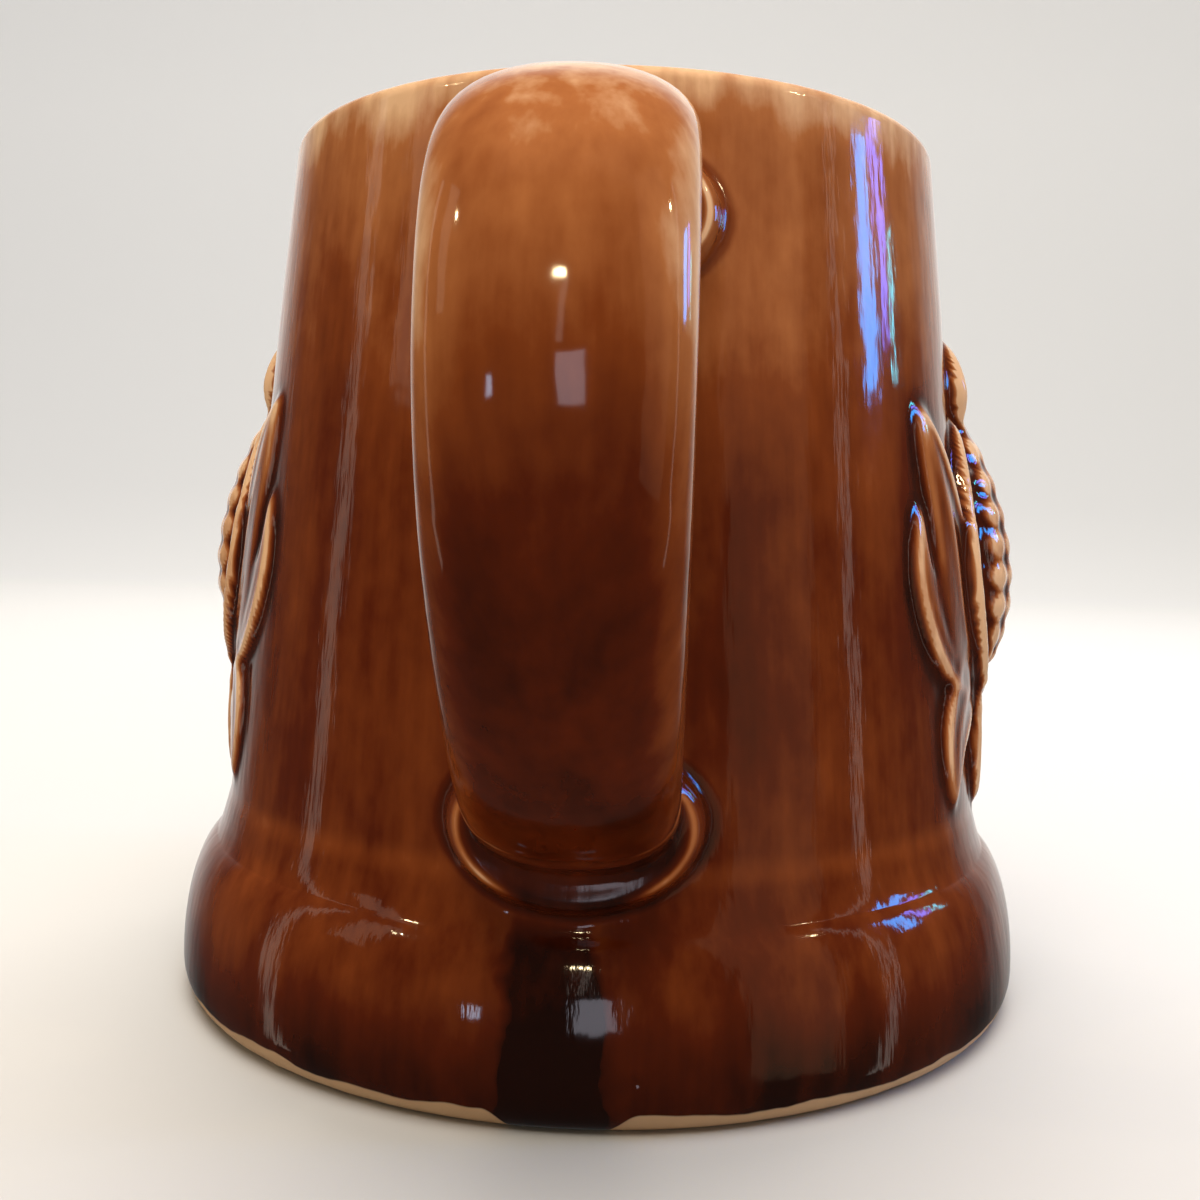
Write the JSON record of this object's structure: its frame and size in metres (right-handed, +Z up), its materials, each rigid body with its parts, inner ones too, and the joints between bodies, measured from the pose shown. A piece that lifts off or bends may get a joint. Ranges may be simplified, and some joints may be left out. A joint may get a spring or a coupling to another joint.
{
  "type": "stoneware mug",
  "caption": "Brown-glazed stoneware mug, tapered on a flared foot, with a broad C handle and a moulded ear of corn in its husk on each side.",
  "frame": {"origin": "middle of the flat underside, on the axis of the mug's body", "axes": "+Z up through the open mouth, -Y towards the handle, +X through the middle of one relief, the other 3.5 degrees behind -X"},
  "size_m": [0.1186, 0.1518, 0.115],
  "materials": {
    "brown_glaze": "glossy translucent brown glaze, amber where it is thin and nearly black where it pools, bare tan clay at the foot's lower edge"
  },
  "bodies": {
    "root": {"mug": "brown_glaze"}
  },
  "joints": []
}
